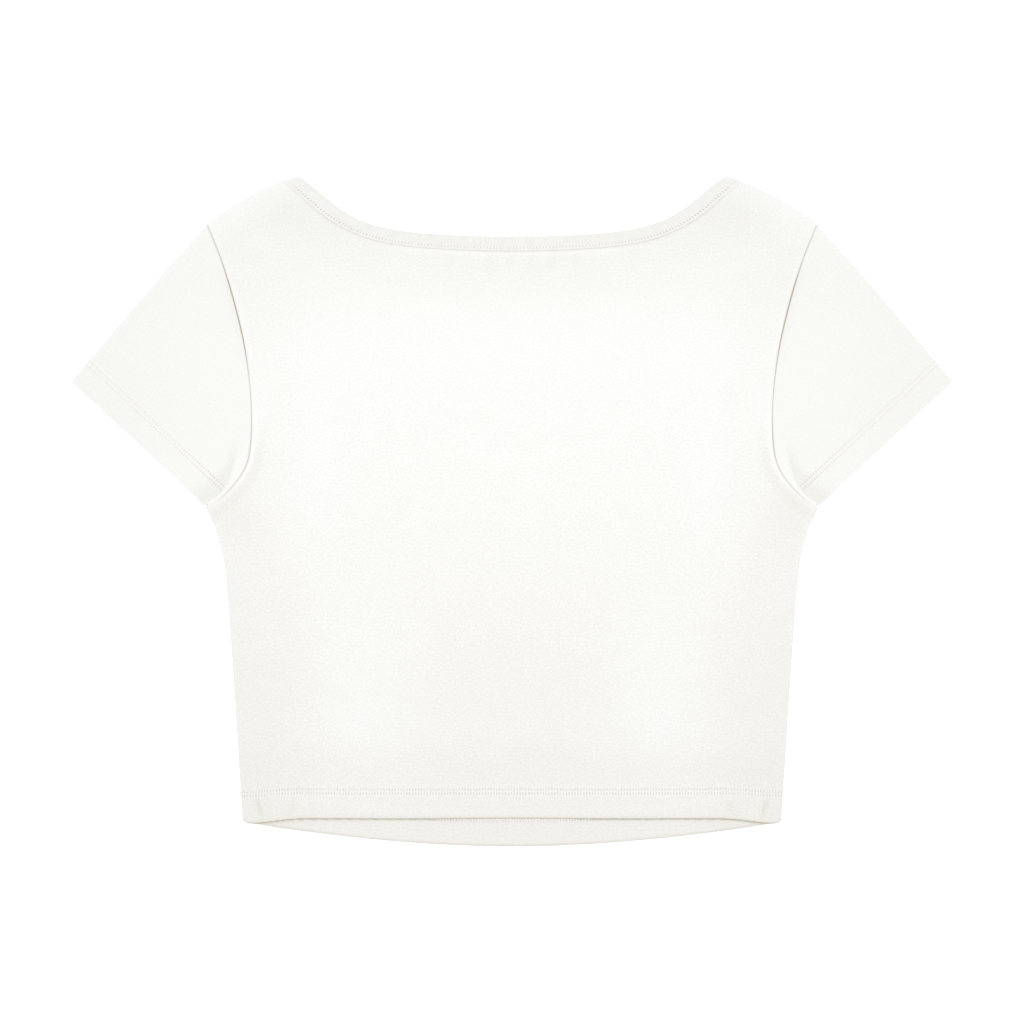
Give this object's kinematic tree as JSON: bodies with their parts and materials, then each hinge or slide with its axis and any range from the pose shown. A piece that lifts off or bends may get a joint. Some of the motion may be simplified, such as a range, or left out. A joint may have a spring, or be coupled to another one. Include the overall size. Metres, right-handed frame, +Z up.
{
  "type": "crop top",
  "caption": "Short-sleeved cotton jersey crop top lying flat with its back up, wide bound neckline, curved front hem.",
  "frame": {"origin": "on the surface that the garment lies on, under the middle of its outline", "axes": "+X to the wearer's right sleeve, +Y from hem to neck, +Z up from the surface, out of the back of the garment"},
  "size_m": [0.562, 0.4268, 0.0052],
  "materials": {
    "jersey": "matt off-white cotton jersey, fine knit",
    "binding": "matt off-white jersey binding, topstitched"
  },
  "bodies": {
    "root": {"back_panel": "jersey", "front_panel": "jersey", "sleeve_right": "jersey", "sleeve_left": "jersey", "neck_binding": "binding"}
  },
  "joints": []
}
